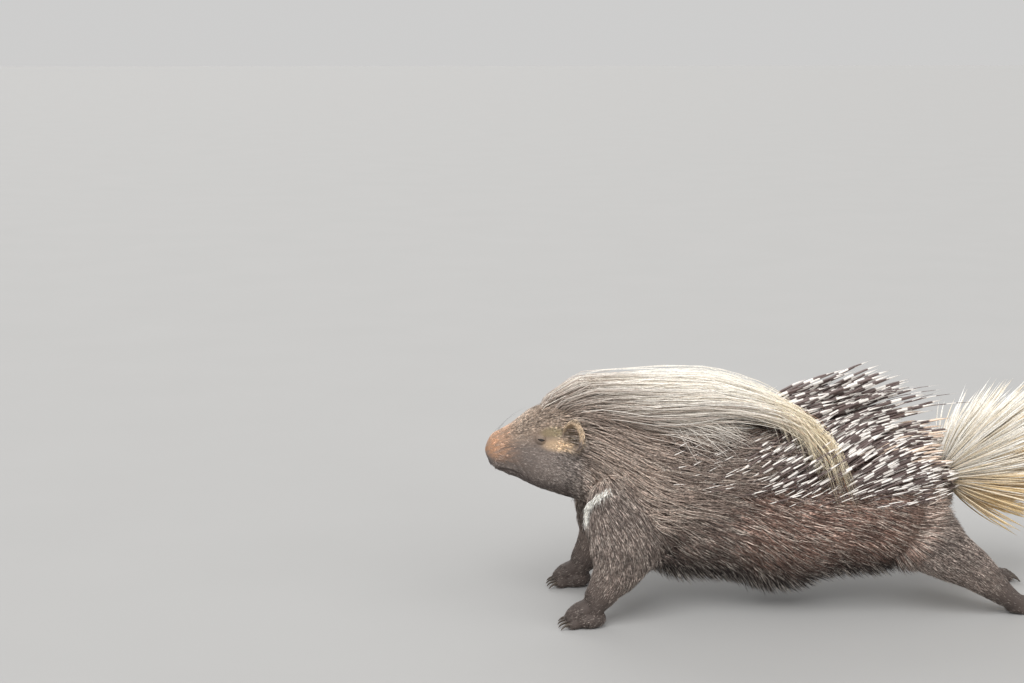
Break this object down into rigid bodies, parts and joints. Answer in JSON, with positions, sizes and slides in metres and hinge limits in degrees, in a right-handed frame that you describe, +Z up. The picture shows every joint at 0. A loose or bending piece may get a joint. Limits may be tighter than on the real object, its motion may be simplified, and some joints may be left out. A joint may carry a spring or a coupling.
{
  "type": "Cape porcupine",
  "caption": "Life-size crested porcupine in a low, stretched stance with raised head, long swept crest, banded quills and a fan of white tail quills.",
  "frame": {"origin": "centre of the bounding box at floor level", "axes": "+X from nose to tail, -Y the animal's left side, +Z up"},
  "size_m": [0.9898, 0.2706, 0.4117],
  "materials": {
    "coat_head": "short brown fur, rust brown on the nose",
    "eye": "wet dark eye",
    "ear": "thin tan skin with sparse short hair",
    "crest": "long hair, brown at the roots, white to straw along its length",
    "coat_dark": "flat dark brown bristles with paler ones among them",
    "quill_coat": "dark quills banded with white, with pale points",
    "tail_quills": "white to straw quills, satin",
    "paw": "thin dark hair over dark skin"
  },
  "bodies": {
    "root": {"head": "coat_head", "eye_left": "eye", "eye_right": "eye", "ear_left": "ear", "ear_right": "ear", "neck": "crest", "torso_front": "coat_dark", "torso_rear": "quill_coat", "tail": "tail_quills", "leg_front_left": "coat_dark", "leg_front_right": "coat_dark", "paw_front_left": "paw", "paw_front_right": "paw", "leg_hind_left": "coat_dark", "leg_hind_right": "coat_dark", "paw_hind_left": "paw", "paw_hind_right": "paw"}
  },
  "joints": []
}
